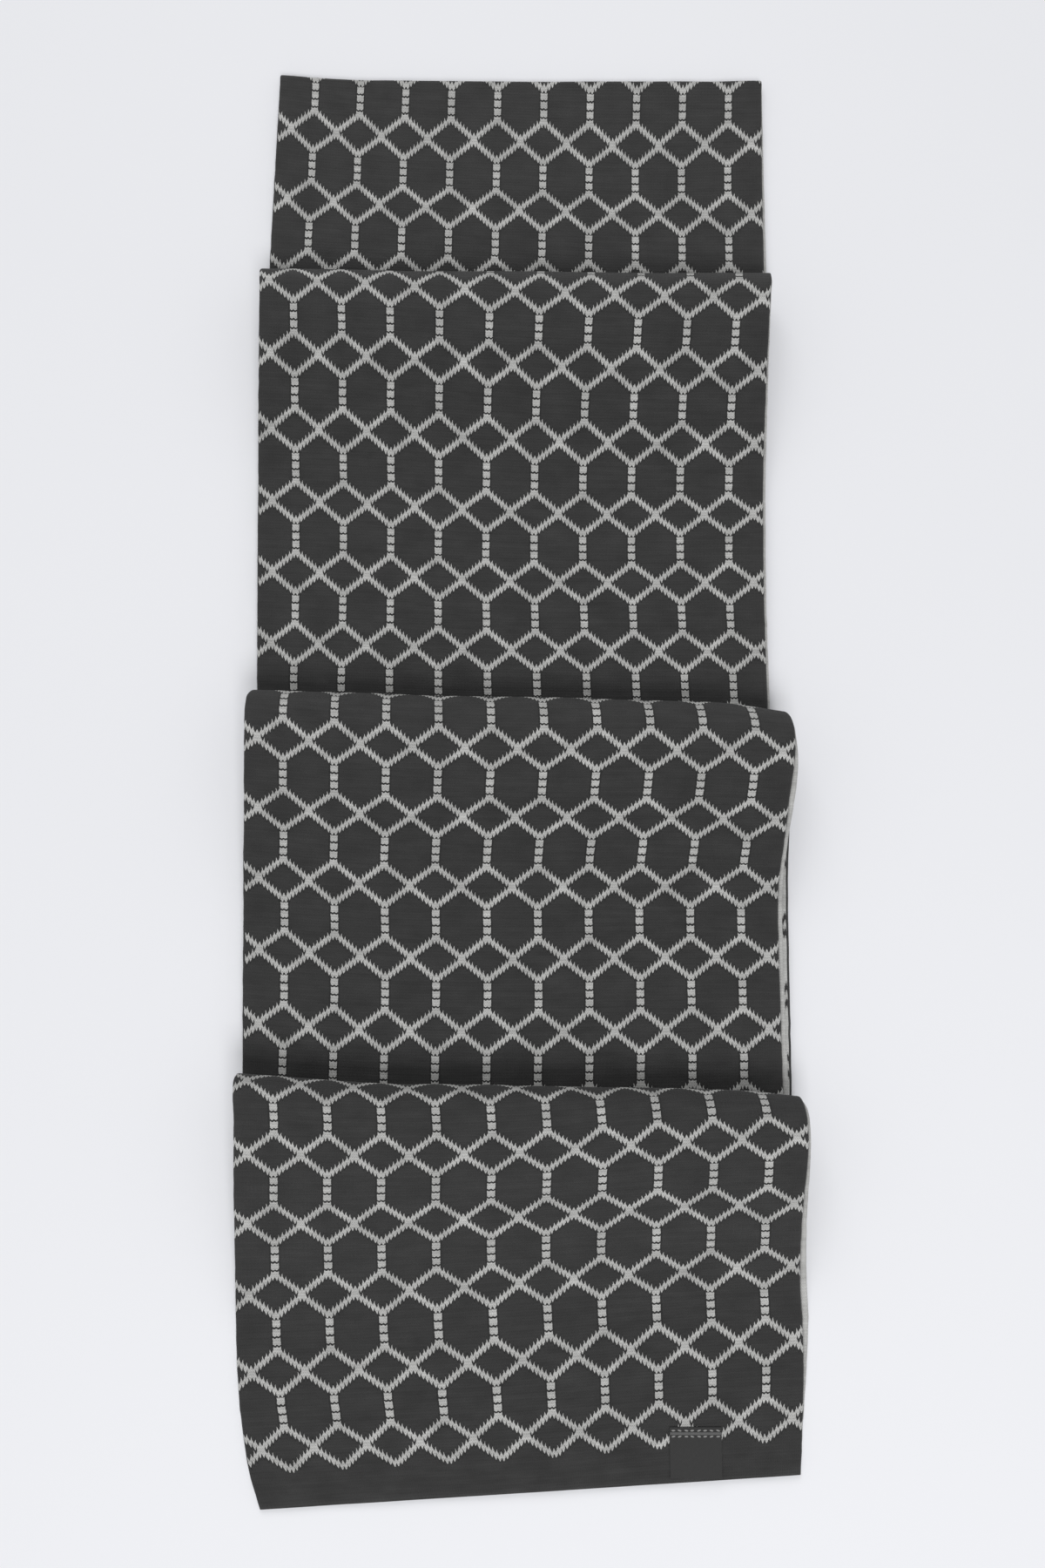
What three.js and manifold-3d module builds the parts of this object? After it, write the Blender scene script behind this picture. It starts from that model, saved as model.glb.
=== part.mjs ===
// Knitted muffler laid in a cascade of folds on a flat surface.
// Millimetres, +Z up. The hem end points along -Y and the folded end along +Y.
// Four stretches of the one strip show, each over the next. The layers between
// them, which stay hidden but for their edges, are one rounded solid.
import * as THREE from 'three';
import Module from 'manifold-3d';
import { mergeVertices } from 'three/addons/utils/BufferGeometryUtils.js';

// Driving sizes
const CLOTH = 3; // thickness of the double knit
const GAP = 0.3; // between pieces that touch
const SELVEDGE = 0.8; // radius left on the long edges of the cloth
const CENTRE = { x: -1.5, y: 25.6 }; // middle of the folded muffler, in the tables' own axes
const ACROSS = 6; // facets over the width
const ARC_STEPS = 12; // facets round a fold
const SLOPE_STEPS = 10; // facets down the slope in front of a fold

// Height of the top of the cloth where one, two or three layers lie on the surface
const layerTop = (layers) => layers * CLOTH + (layers - 1) * GAP;

// Each stretch starts at the fold at its back and runs forward, down a slope, to where
// it lies flat. backLeft and backRight are the y of the fold's two ends, crown is the
// height of the fold, under is what the fold rests on, rest is the top of the flat
// cloth, slopeLeft and slopeRight are how far the slope reaches along the two edges.
const STRETCHES = {
  front: {
    backLeft: -163.8, backRight: -174.9, crown: 42, under: layerTop(3) + GAP, rest: layerTop(1),
    slopeLeft: 150, slopeRight: 122,
  },
  third: {
    backLeft: 47, backRight: 35.5, crown: 40, under: layerTop(3) + GAP, rest: layerTop(3),
    slopeLeft: 140, slopeRight: 134,
  },
  second: {
    backLeft: 305.6, backRight: 302, crown: 34, under: layerTop(2) + GAP, rest: layerTop(3),
    slopeLeft: 135, slopeRight: 135,
  },
  back: {
    backLeft: 443.4, backRight: 440.5, crown: layerTop(2), under: 0, rest: layerTop(2),
    slopeLeft: 0, slopeRight: 0,
  },
};

// Where the two long edges run: along is the distance forward of the fold
const EDGES = {
  front: [
    { along: 0, left: -155.0, right: 150.4 },
    { along: 5, left: -154.6, right: 152.0 },
    { along: 24, left: -153.0, right: 152.6 },
    { along: 60, left: -153.7, right: 152.2 },
    { along: 100, left: -155.1, right: 154.6 },
    { along: 118, left: -155.6, right: 155.6 },
    { along: 145, left: -155.2, right: 153.9 },
    { along: 171, left: -153.1, right: 151.4 },
    { along: 191, left: -150.2, right: 149.8 },
    { along: 211, left: -146.1, right: 148.5 },
    { along: 228, left: -140.2, right: 147.4 },
  ],
  third: [
    { along: 0, left: -152.4, right: 148.0 },
    { along: 5, left: -153.9, right: 149.9 },
    { along: 17, left: -154.1, right: 151.5 },
    { along: 30, left: -154.0, right: 152.3 },
    { along: 47, left: -154.3, right: 151.0 },
    { along: 66, left: -154.8, right: 148.4 },
    { along: 94, left: -156.3, right: 145.8 },
    { along: 126, left: -156.8, right: 146.1 },
    { along: 173, left: -156.0, right: 146.6 },
    { along: 226, left: -154.5, right: 147.4 },
  ],
  second: [
    { along: 0, left: -155.0, right: 147.2 },
    { along: 17, left: -153.9, right: 145.6 },
    { along: 53, left: -154.3, right: 144.2 },
    { along: 100, left: -155.8, right: 143.8 },
    { along: 152, left: -155.4, right: 142.7 },
    { along: 205, left: -154.2, right: 142.0 },
    { along: 277, left: -152.4, right: 142.7 },
  ],
  back: [
    { along: 0, left: -150.0, right: 148.2 },
    { along: 65, left: -151.8, right: 147.9 },
    { along: 153, left: -154.0, right: 148.0 },
  ],
};

// The hem, in the same axes: y of its two ends, where the front stretch stops
const HEM = { left: -392.2, right: -374.6 };

// Edges of the two lowest layers, which stick out a little on the right beside the third stretch
const LOWER_EDGES = [
  { y: -300, left: -151.0, right: 146.0 },
  { y: -230, left: -151.0, right: 148.0 },
  { y: -165, left: -152.0, right: 149.4 },
  { y: -60, left: -153.5, right: 150.4 },
  { y: -10, left: -152.8, right: 152.6 },
  { y: 20, left: -151.0, right: 149.0 },
  { y: 60, left: -150.0, right: 140.0 },
  { y: 200, left: -152.0, right: 139.5 },
  { y: 290, left: -151.0, right: 142.5 },
  { y: 330, left: -149.5, right: 144.5 },
  { y: 441, left: -147.0, right: 145.0 },
];

// The sewn-on patch near the hem
const PATCH = { width: 28, length: 26.1, thick: 0.8, right: 106.8, back: -349.9 };

const MATERIALS = {
  face: { color: 0x3a3a3a, roughness: 0.95, metalness: 0 },
  inside: { color: 0x9a9a98, roughness: 0.95, metalness: 0 },
  patch: { color: 0x333435, roughness: 0.9, metalness: 0 },
};

const mix = (a, b, t) => a + (b - a) * t;

// A smooth curve through one column of a table, read at one place
function readTable(table, key, column, place) {
  const last = table.length - 1;
  const slope = (i) => {
    const a = table[Math.max(i - 1, 0)];
    const b = table[Math.min(i + 1, last)];
    return (b[column] - a[column]) / (b[key] - a[key]);
  };
  let i = 0;
  while (i < last - 1 && place > table[i + 1][key]) i += 1;
  const span = table[i + 1][key] - table[i][key];
  const t = THREE.MathUtils.clamp((place - table[i][key]) / span, 0, 1);
  const t2 = t * t;
  const t3 = t2 * t;
  return table[i][column] * (2 * t3 - 3 * t2 + 1) + slope(i) * span * (t3 - 2 * t2 + t)
    + table[i + 1][column] * (3 * t2 - 2 * t3) + slope(i + 1) * span * (t3 - t2);
}

// Radius of the fold at the back of a stretch, and the height of its centre
const foldRadius = (shape) => (shape.crown - shape.under) / 2;
const foldCentre = (shape) => (shape.crown + shape.under) / 2;

// The places along a stretch where it has a section: round the fold, down the slope, flat
function stationsOf(shape, flatSteps) {
  const stations = [];
  for (let i = 0; i <= ARC_STEPS; i += 1) stations.push({ arc: i / ARC_STEPS });
  if (shape.slopeLeft > 0) {
    for (let i = 1; i <= SLOPE_STEPS; i += 1) stations.push({ slope: i / SLOPE_STEPS });
  }
  for (let i = 1; i <= flatSteps; i += 1) stations.push({ flat: i / flatSteps });
  return stations;
}

// One point of the side view: how far forward of the fold, how high, and the way it faces
function sidePoint(shape, station, slopeEnd, length) {
  const radius = foldRadius(shape);
  if (station.arc !== undefined) {
    const angle = mix(-Math.PI / 2, Math.PI / 2, station.arc);
    return {
      along: radius - radius * Math.cos(angle),
      z: foldCentre(shape) + radius * Math.sin(angle),
      facing: { along: -Math.cos(angle), z: Math.sin(angle) },
    };
  }
  if (station.slope !== undefined) {
    const drop = shape.crown - shape.rest;
    const reach = slopeEnd - radius;
    const steepness = (drop * Math.PI / 2 / reach) * Math.sin(Math.PI * station.slope);
    const size = Math.hypot(1, steepness);
    return {
      along: radius + reach * station.slope,
      z: shape.rest + drop * (1 + Math.cos(Math.PI * station.slope)) / 2,
      facing: { along: steepness / size, z: 1 / size },
    };
  }
  const start = Math.max(slopeEnd, radius);
  return { along: mix(start, length, station.flat), z: shape.rest, facing: { along: 0, z: 1 } };
}

// A point of a stretch, sunk below its top by depth, with its edge drawn in by inset
function clothPoint(name, station, side, depth, inset, ends) {
  const shape = STRETCHES[name];
  const left = side === 'left';
  const back = left ? shape.backLeft : shape.backRight;
  const slopeEnd = left ? shape.slopeLeft : shape.slopeRight;
  const at = sidePoint(shape, station, slopeEnd, back - (left ? ends.left : ends.right));
  const x = readTable(EDGES[name], 'along', side, at.along) + (left ? inset : -inset);
  const along = at.along - at.facing.along * depth;
  return new THREE.Vector3(x - CENTRE.x, back - along - CENTRE.y, at.z - at.facing.z * depth);
}

// A closed mesh from rings with the same number of points, capped at both ends
function loft(rings) {
  const count = rings[0].length;
  const positions = rings.flat().flatMap((p) => [p.x, p.y, p.z]);
  const faces = [];
  for (let i = 0; i + 1 < rings.length; i += 1) {
    for (let j = 0; j < count; j += 1) {
      const next = (j + 1) % count;
      const a = i * count + j;
      const b = i * count + next;
      faces.push(a, a + count, b, b, a + count, b + count);
    }
  }
  const end = (rings.length - 1) * count;
  for (let j = 0; j < count / 2 - 1; j += 1) {
    const [a, b, c, d] = [j, j + 1, count - 2 - j, count - 1 - j];
    faces.push(a, b, d, end + a, end + d, end + b);
    if (b !== c) faces.push(b, c, d, end + b, end + d, end + c);
  }
  const geometry = new THREE.BufferGeometry();
  geometry.setAttribute('position', new THREE.Float32BufferAttribute(positions, 3));
  geometry.setIndex(faces);
  return geometry;
}

// The section of flat cloth from its left edge to its right: top, right edge, bottom, left edge
function clothRing(point) {
  const ring = [point('left', CLOTH / 2, 0)];
  for (const [depth, from, to] of [[0, 'left', 'right'], [CLOTH, 'right', 'left']]) {
    const a = point(from, depth, SELVEDGE);
    const b = point(to, depth, SELVEDGE);
    for (let j = 0; j <= ACROSS; j += 1) ring.push(a.clone().lerp(b, j / ACROSS));
    if (depth === 0) ring.push(point('right', CLOTH / 2, 0));
  }
  return ring;
}

// One stretch that shows, from the underside of its fold to its other end
function stretch(name, ends, flatSteps) {
  const stations = stationsOf(STRETCHES[name], flatSteps);
  return loft(stations.map((station) => clothRing(
    (side, depth, inset) => clothPoint(name, station, side, depth, inset, ends),
  )));
}

// A stretch ends below the fold in front of it, just short of that fold's filling
const TUCK = 1;
const endUnder = (name) => ({
  left: STRETCHES[name].backLeft - foldRadius(STRETCHES[name]) + TUCK,
  right: STRETCHES[name].backRight - foldRadius(STRETCHES[name]) + TUCK,
});

// How far down its slope a fold has hidden layers below it, as a share of the slope
const FILLED = { front: 0.7, third: 0.92, second: 0.92 };

// The front edge of the lower layers: below the front stretch, where the filling ends
function lowerFront(side) {
  const shape = STRETCHES.front;
  const back = side === 'left' ? shape.backLeft : shape.backRight;
  const slopeEnd = side === 'left' ? shape.slopeLeft : shape.slopeRight;
  return back - sidePoint(shape, { slope: FILLED.front }, slopeEnd, 0).along;
}

// One hidden layer lying flat, with its four edges rounded
function lowerLayer(bottom, top, backEnd) {
  const steps = 24;
  const fullness = [[0, 1.1], [0.5, 0.35], [1.5, 0]]; // from an end: distance, draw-in of top and bottom
  const places = [...fullness.map(([distance]) => ({ from: 'front', distance }))];
  for (let i = 1; i < steps; i += 1) places.push({ share: i / steps });
  places.push(...fullness.map(([distance]) => ({ from: 'back', distance })).reverse());
  return loft(places.map((place) => {
    const y = (side) => {
      const front = lowerFront(side);
      if (place.share !== undefined) return mix(front, backEnd[side], place.share);
      return place.from === 'front' ? front + place.distance : backEnd[side] - place.distance;
    };
    const shrink = place.share === undefined
      ? fullness.find(([distance]) => distance === place.distance)[1] : 0;
    const corner = (side, z, inset) => {
      const edge = readTable(LOWER_EDGES, 'y', side, y(side));
      const x = edge + (side === 'left' ? inset : -inset);
      return new THREE.Vector3(x - CENTRE.x, y(side) - CENTRE.y, z);
    };
    const low = bottom + (bottom > 0 ? shrink : 0);
    return [
      corner('left', (bottom + top) / 2, 0), corner('left', top - shrink, 1.2),
      corner('right', top - shrink, 1.2), corner('right', (bottom + top) / 2, 0),
      corner('right', low, 1.2), corner('left', low, 1.2),
    ].reverse();
  }));
}

// The rounded filling inside one fold, sunk into the lower layers
function foldFilling(name, floor) {
  const shape = STRETCHES[name];
  const ends = endUnder(name);
  const wall = CLOTH + GAP;
  const stations = stationsOf(shape, 0).filter((s) => s.arc !== undefined || s.slope < FILLED[name]);
  stations.push({ slope: FILLED[name] });
  // How far in from the left edge, as a share of the width, and how full the filling is there
  const slices = [];
  for (const [inset, full] of [[0.015, 0.55], [0.02, 0.78], [0.03, 0.93], [0.045, 1]]) {
    slices.push([inset, full]);
    slices.unshift([1 - inset, full]);
  }
  slices.sort((a, b) => a[0] - b[0]);
  return loft(slices.map(([share, full]) => {
    const across = (station) => clothPoint(name, station, 'left', wall, 0, ends)
      .lerp(clothPoint(name, station, 'right', wall, 0, ends), share);
    const hub = mix(shape.backLeft, shape.backRight, share) - foldRadius(shape) - CENTRE.y;
    const ring = stations.map((station) => {
      const p = across(station);
      if (station.arc !== undefined) p.y = mix(hub, p.y, full);
      if (station.arc === undefined || station.arc > 0.5) p.z = mix(floor, p.z, full);
      else p.z = Math.min(p.z, mix(floor, foldCentre(shape), full));
      return p;
    });
    ring[0].y -= GAP;
    const first = ring[0].clone().setZ(floor);
    const last = ring[ring.length - 1].clone().setZ(floor);
    ring.push(last);
    for (let k = 1; k < 8; k += 1) ring.push(last.clone().lerp(first, k / 8));
    ring.push(first);
    return ring.reverse();
  }));
}

// Merged vertices and a check of the winding, ready for a boolean
function solidOf(wasm, geometry) {
  const merged = mergeVertices(geometry.clone(), 1e-4);
  return new wasm.Manifold(new wasm.Mesh({
    numProp: 3,
    vertProperties: new Float32Array(merged.attributes.position.array),
    triVerts: new Uint32Array(merged.index.array),
  }));
}

function meshOf(solid) {
  const { vertProperties, triVerts } = solid.getMesh();
  const geometry = new THREE.BufferGeometry();
  geometry.setAttribute('position', new THREE.BufferAttribute(new Float32Array(vertProperties), 3));
  geometry.setIndex(new THREE.BufferAttribute(new Uint32Array(triVerts), 1));
  return geometry;
}

// All the layers that stay hidden, as one solid: two lower layers and the fold fillings
function hiddenLayers(wasm) {
  const first = { left: STRETCHES.back.backLeft, right: STRETCHES.back.backRight };
  const clear = foldRadius(STRETCHES.back) + GAP;
  const second = endUnder('second');
  let solid = solidOf(wasm, lowerLayer(0, layerTop(1), {
    left: first.left - clear, right: first.right - clear,
  }));
  const overlap = GAP / 3;
  const upper = lowerLayer(layerTop(1) - overlap, layerTop(2), {
    left: second.left - GAP, right: second.right - GAP,
  });
  solid = solid.add(solidOf(wasm, upper));
  for (const name of Object.keys(FILLED)) {
    solid = solid.add(solidOf(wasm, foldFilling(name, layerTop(2) - GAP)));
  }
  return meshOf(solid);
}

// The patch lies on the front stretch, turned a little with the hem
function hemPatch() {
  const geometry = new THREE.BoxGeometry(PATCH.width, PATCH.length, PATCH.thick);
  geometry.translate(-PATCH.width / 2, -PATCH.length / 2, PATCH.thick / 2);
  return geometry;
}

const wasm = await Module();
wasm.setup();

const group = new THREE.Group();

function addPiece(name, geometry, look) {
  const mesh = new THREE.Mesh(geometry, new THREE.MeshStandardMaterial(MATERIALS[look]));
  mesh.name = name;
  group.add(mesh);
  return mesh;
}

addPiece('stretch_front', stretch('front', HEM, 8), 'face');
addPiece('stretch_third', stretch('third', endUnder('front'), 8), 'face');
addPiece('stretch_second', stretch('second', endUnder('third'), 8), 'face');
addPiece('stretch_back', stretch('back', endUnder('second'), 8), 'face');
addPiece('hidden_layers', hiddenLayers(wasm), 'inside');
const patch = addPiece('hem_patch', hemPatch(), 'patch');
patch.position.set(PATCH.right - CENTRE.x, PATCH.back - CENTRE.y, layerTop(1) + GAP);

export default group;
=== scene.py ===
# Looks of a double-knit muffler that lies in a cascade of folds.
# The tables are in millimetres, in the axes of the part's source; meshes are in metres.
import math

import bmesh
import bpy
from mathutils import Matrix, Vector, noise


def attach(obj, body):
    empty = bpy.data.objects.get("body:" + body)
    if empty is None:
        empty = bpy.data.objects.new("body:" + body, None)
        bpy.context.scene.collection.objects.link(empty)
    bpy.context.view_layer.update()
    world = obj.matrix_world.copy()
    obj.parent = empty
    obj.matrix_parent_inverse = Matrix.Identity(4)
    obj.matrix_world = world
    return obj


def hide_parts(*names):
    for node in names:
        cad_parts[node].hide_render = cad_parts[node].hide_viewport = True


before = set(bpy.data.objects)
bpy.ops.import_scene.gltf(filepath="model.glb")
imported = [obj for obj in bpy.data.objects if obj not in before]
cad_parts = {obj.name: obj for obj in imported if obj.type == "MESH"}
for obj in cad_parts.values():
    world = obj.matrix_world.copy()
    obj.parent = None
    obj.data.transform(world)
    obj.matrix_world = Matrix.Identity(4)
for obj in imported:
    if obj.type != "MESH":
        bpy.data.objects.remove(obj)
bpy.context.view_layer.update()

MM = 0.001

# The knit
CLOTH = 3.0  # thickness of the two layers together
GAP = 0.3  # between layers that touch
CUT_WIDTH = 0.3  # of the whole strip, in metres
CENTRE_X, CENTRE_Y = -1.5, 25.6  # middle of the folded muffler, in the tables' own axes
REPEAT_WALES = 14  # one lattice repeat across
REPEAT_COURSES = 26  # one lattice repeat along, counted from a row of crossings
LINE_HALF = 1.21  # half the height of a slanted line, in courses
LINE_RISE = 0.4  # how far such a line lies off the diagonal through the crossings, in courses
BAR_START = 7.2  # courses from a row of crossings to where an upright bar starts
BAR_HALF = 1.03  # half the width of a bar, in wales
FIRST_TIE = 8.3  # course of the first dark tie across a bar, of four
TIE_STEP = 3.0  # courses from one tie to the next
TIE_HALF = 0.34  # half the height of a tie, in courses
TIE_WAVE = 0.15  # how far a tie waves, in courses
TROUGH = 0.9  # how far beside a line the ground dips and is painted in shade, in courses
FIRST_WALE = 10.0  # where the left edge cuts the repeat
WALES = 147.5  # across the whole width of the face
LAST_FIGURE = 111.7  # courses from the front stretch's first crossings to the plain hem
LEFT_LIP = 0.1  # how far the pale back layer shows past the face on the left
DARK_LIP = 1.3  # how far the dark face shows past the back where a return lies back up
ARM = 1.2  # how many courses one leg of a stitch climbs
EDGE_WOBBLE = 0.3  # how far the long edges wander
WOBBLE_LENGTH = 7.0  # length along the cloth over which they do
MERGE = 0.01  # points closer than this are one

# Mesh density
COLUMNS = 76
ARC_STEPS = 26
SLOPE_STEPS = 34
FLAT_STEP = 4.0
RETURN_STEPS = 36
TURN_STEPS = 8
TAIL_STEPS = 30


def layer_top(layers):
    return layers * CLOTH + (layers - 1) * GAP


# Each stretch starts at the fold at its back and runs forward, down a slope, to where it
# lies flat: y of the fold's two ends, height of the fold, what the fold rests on, top of the
# flat cloth, and how far the slope reaches along the left and right edges. Then the knit:
# distance from the fold to the first row of crossings, and the lattice's length.
STRETCHES = {
    "front": {
        "back": (-163.8, -174.9), "crown": 42.0, "under": layer_top(3) + GAP,
        "rest": layer_top(1), "slope": (150.0, 122.0),
        "first_row": (48.1, 31.0), "repeat": (40.93, 39.75),
    },
    "third": {
        "back": (47.0, 35.5), "crown": 40.0, "under": layer_top(3) + GAP,
        "rest": layer_top(3), "slope": (140.0, 134.0),
        "first_row": (34.9, 32.4), "repeat": (40.2, 39.1),
    },
    "second": {
        "back": (305.6, 302.0), "crown": 34.0, "under": layer_top(2) + GAP,
        "rest": layer_top(3), "slope": (135.0, 135.0),
        "first_row": (20.3, 27.9), "repeat": (43.0, 42.0),
    },
    "back": {
        "back": (443.4, 440.5), "crown": layer_top(2), "under": 0.0,
        "rest": layer_top(2), "slope": (0.0, 0.0),
        "first_row": (40.0, 45.8), "repeat": (45.9, 46.4),
    },
}

# Where the long edges run. along: distance forward of the fold. left, right: the cloth's
# edges. lip: how far the pale back layer shows past the face on the right.
EDGES = {
    "front": [
        {"along": 0, "left": -155.0, "right": 150.4, "lip": 0.5},
        {"along": 5, "left": -154.6, "right": 152.0, "lip": 1.4},
        {"along": 24, "left": -153.0, "right": 152.6, "lip": 1.4},
        {"along": 60, "left": -153.7, "right": 152.2, "lip": 2.6},
        {"along": 100, "left": -155.1, "right": 154.6, "lip": 3.8},
        {"along": 118, "left": -155.6, "right": 155.6, "lip": 3.6},
        {"along": 145, "left": -155.2, "right": 153.9, "lip": 1.8},
        {"along": 171, "left": -153.1, "right": 151.4, "lip": 0.6},
        {"along": 191, "left": -150.2, "right": 149.8, "lip": 0.3},
        {"along": 211, "left": -146.1, "right": 148.5, "lip": 0.3},
        {"along": 228, "left": -140.2, "right": 147.4, "lip": 0.3},
    ],
    "third": [
        {"along": 0, "left": -152.4, "right": 148.0, "lip": 0.3},
        {"along": 5, "left": -153.9, "right": 149.9, "lip": 0.4},
        {"along": 17, "left": -154.1, "right": 151.5, "lip": 0.9},
        {"along": 30, "left": -154.0, "right": 152.3, "lip": 2.4},
        {"along": 47, "left": -154.3, "right": 151.0, "lip": 3.3},
        {"along": 66, "left": -154.8, "right": 148.4, "lip": 2.3},
        {"along": 94, "left": -156.3, "right": 145.8, "lip": 2.4},
        {"along": 126, "left": -156.8, "right": 146.1, "lip": 2.6},
        {"along": 173, "left": -156.0, "right": 146.6, "lip": 2.9},
        {"along": 226, "left": -154.5, "right": 147.4, "lip": 3.5},
    ],
    "second": [
        {"along": 0, "left": -155.0, "right": 147.2, "lip": 0.4},
        {"along": 17, "left": -153.9, "right": 145.6, "lip": 0.5},
        {"along": 53, "left": -154.3, "right": 144.2, "lip": 1.0},
        {"along": 100, "left": -155.8, "right": 143.8, "lip": 1.6},
        {"along": 152, "left": -155.4, "right": 142.7, "lip": 1.6},
        {"along": 205, "left": -154.2, "right": 142.0, "lip": 1.5},
        {"along": 277, "left": -152.4, "right": 142.7, "lip": 1.6},
    ],
    "back": [
        {"along": 0, "left": -150.0, "right": 148.2, "lip": 0.3},
        {"along": 65, "left": -151.8, "right": 147.9, "lip": 1.2},
        {"along": 153, "left": -154.0, "right": 148.0, "lip": 1.9},
    ],
}

HEM = (-392.2, -374.6)  # y of the hem's left and right ends

# The folds aren't straight: how far back of the line between their ends they lie
CRESTS = {
    "front": [
        {"across": 0.0, "back": 1.0}, {"across": 0.25, "back": -0.9},
        {"across": 0.5, "back": 0.4}, {"across": 0.9, "back": 1.9},
        {"across": 1.0, "back": 0.0},
    ],
    "third": [
        {"across": 0.0, "back": 2.4}, {"across": 0.3, "back": 3.2},
        {"across": 0.8, "back": 5.4}, {"across": 0.9, "back": 4.6},
        {"across": 1.0, "back": 0.8},
    ],
    "second": [
        {"across": 0.0, "back": 0.0}, {"across": 0.5, "back": -0.5},
        {"across": 1.0, "back": 0.6},
    ],
    "back": [
        {"across": 0.0, "back": 1.2}, {"across": 0.12, "back": -1.1},
        {"across": 0.35, "back": -1.9}, {"across": 0.6, "back": -1.4},
        {"across": 1.0, "back": 0.3},
    ],
}
CREST_REACH = 42.0  # length along the cloth over which such a bend fades

# The knit is strained. How far its rows lie forward of straight ones, in courses, and its
# wales to the left of even ones, in wales: across each stretch, at the fold, a third and two
# thirds of the way along, and at the far end.
ROW_LIE = {
    "back": [
        {"across": 0, "near": 1.9, "early": 1.6, "late": 1.1, "far": 0.4},
        {"across": 0.25, "near": 1.2, "early": -1.2, "late": -0.2, "far": -0.1},
        {"across": 0.5, "near": 1.2, "early": -1.5, "late": -0.8, "far": -0.5},
        {"across": 0.75, "near": 1.2, "early": -2.0, "late": -1.1, "far": -0.5},
        {"across": 1, "near": 1.4, "early": 0.6, "late": 0.2, "far": -0.2},
    ],
    "second": [
        {"across": 0, "near": 0.3, "early": 0.3, "late": 0.3, "far": 0.7},
        {"across": 0.25, "near": -0.1, "early": 0.0, "late": -0.5, "far": 0.4},
        {"across": 0.5, "near": -0.6, "early": -1.3, "late": -1.7, "far": 0.5},
        {"across": 0.75, "near": -0.7, "early": -1.4, "late": -1.3, "far": 1.0},
        {"across": 1, "near": -0.1, "early": -0.2, "late": 0.4, "far": 0.9},
    ],
    "third": [
        {"across": 0, "near": -1.0, "early": 0.7, "late": 0.7, "far": -0.8},
        {"across": 0.25, "near": -2.9, "early": -1.1, "late": -1.6, "far": -2.5},
        {"across": 0.5, "near": -3.4, "early": -0.8, "late": -1.7, "far": -2.5},
        {"across": 0.75, "near": -2.7, "early": 0.5, "late": -0.2, "far": -1.6},
        {"across": 1, "near": -1.6, "early": 0.8, "late": 1.2, "far": -0.5},
    ],
    "front": [
        {"across": 0, "near": -1.8, "early": -0.5, "late": -2.8, "far": -0.7},
        {"across": 0.25, "near": -4.4, "early": -1.8, "late": -2.7, "far": 0.7},
        {"across": 0.5, "near": -5.1, "early": -0.6, "late": -1.5, "far": 0.9},
        {"across": 0.75, "near": -2.4, "early": 1.9, "late": 0.7, "far": 2.3},
        {"across": 1, "near": -0.1, "early": 2.7, "late": 1.7, "far": 2.3},
    ],
}
WALE_LIE = {
    "back": [
        {"across": 0, "near": -0.1, "early": -0.4, "late": -0.3, "far": -0.2},
        {"across": 0.25, "near": 0.3, "early": 0.2, "late": -0.1, "far": -0.1},
        {"across": 0.5, "near": 0.2, "early": -0.1, "late": -0.2, "far": -0.1},
        {"across": 0.75, "near": -0.4, "early": -0.1, "late": -0.1, "far": -0.2},
        {"across": 1, "near": -0.4, "early": -0.1, "late": 0.0, "far": -0.1},
    ],
    "second": [
        {"across": 0, "near": 1.4, "early": 0.2, "late": -0.4, "far": 0.4},
        {"across": 0.25, "near": 1.7, "early": 0.4, "late": 0.1, "far": 0.9},
        {"across": 0.5, "near": 0.2, "early": 0.2, "late": 0.4, "far": 0.0},
        {"across": 0.75, "near": -1.1, "early": -0.2, "late": -0.1, "far": -1.0},
        {"across": 1, "near": -1.3, "early": -0.7, "late": -0.5, "far": -0.9},
    ],
    "third": [
        {"across": 0, "near": 0.6, "early": 0.0, "late": -0.7, "far": 0.1},
        {"across": 0.25, "near": 1.1, "early": 0.4, "late": -0.2, "far": 0.6},
        {"across": 0.5, "near": 0.9, "early": 0.2, "late": -0.3, "far": 0.6},
        {"across": 0.75, "near": 0.2, "early": -0.1, "late": -0.2, "far": 0.4},
        {"across": 1, "near": 0.1, "early": -0.3, "late": -0.2, "far": 0.0},
    ],
    "front": [
        {"across": 0, "near": 0.4, "early": 0.4, "late": 0.3, "far": -0.6},
        {"across": 0.25, "near": 1.0, "early": 0.8, "late": 0.5, "far": -0.7},
        {"across": 0.5, "near": 0.8, "early": 0.2, "late": -0.2, "far": -0.3},
        {"across": 0.75, "near": 0.5, "early": -0.7, "late": -0.5, "far": 0.0},
        {"across": 1, "near": -0.1, "early": -1.1, "late": -0.7, "far": -0.2},
    ],
}
LIE_LENGTH = {"front": 245.0, "third": 240.0, "second": 285.0, "back": 152.0}

# Edges of the returns, which run below the stretches
LOWER_EDGES = [
    {"y": -300, "left": -151.0, "right": 146.0},
    {"y": -230, "left": -151.0, "right": 148.0},
    {"y": -165, "left": -152.0, "right": 149.4},
    {"y": -60, "left": -153.5, "right": 150.4},
    {"y": -10, "left": -152.8, "right": 152.6},
    {"y": 20, "left": -151.0, "right": 149.0},
    {"y": 60, "left": -150.0, "right": 140.0},
    {"y": 200, "left": -152.0, "right": 139.5},
    {"y": 290, "left": -151.0, "right": 142.5},
    {"y": 330, "left": -149.5, "right": 144.5},
    {"y": 441, "left": -147.0, "right": 145.0},
]
TUCK = 1.0  # a stretch stops this far short of the radius of the fold that covers its end

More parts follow.
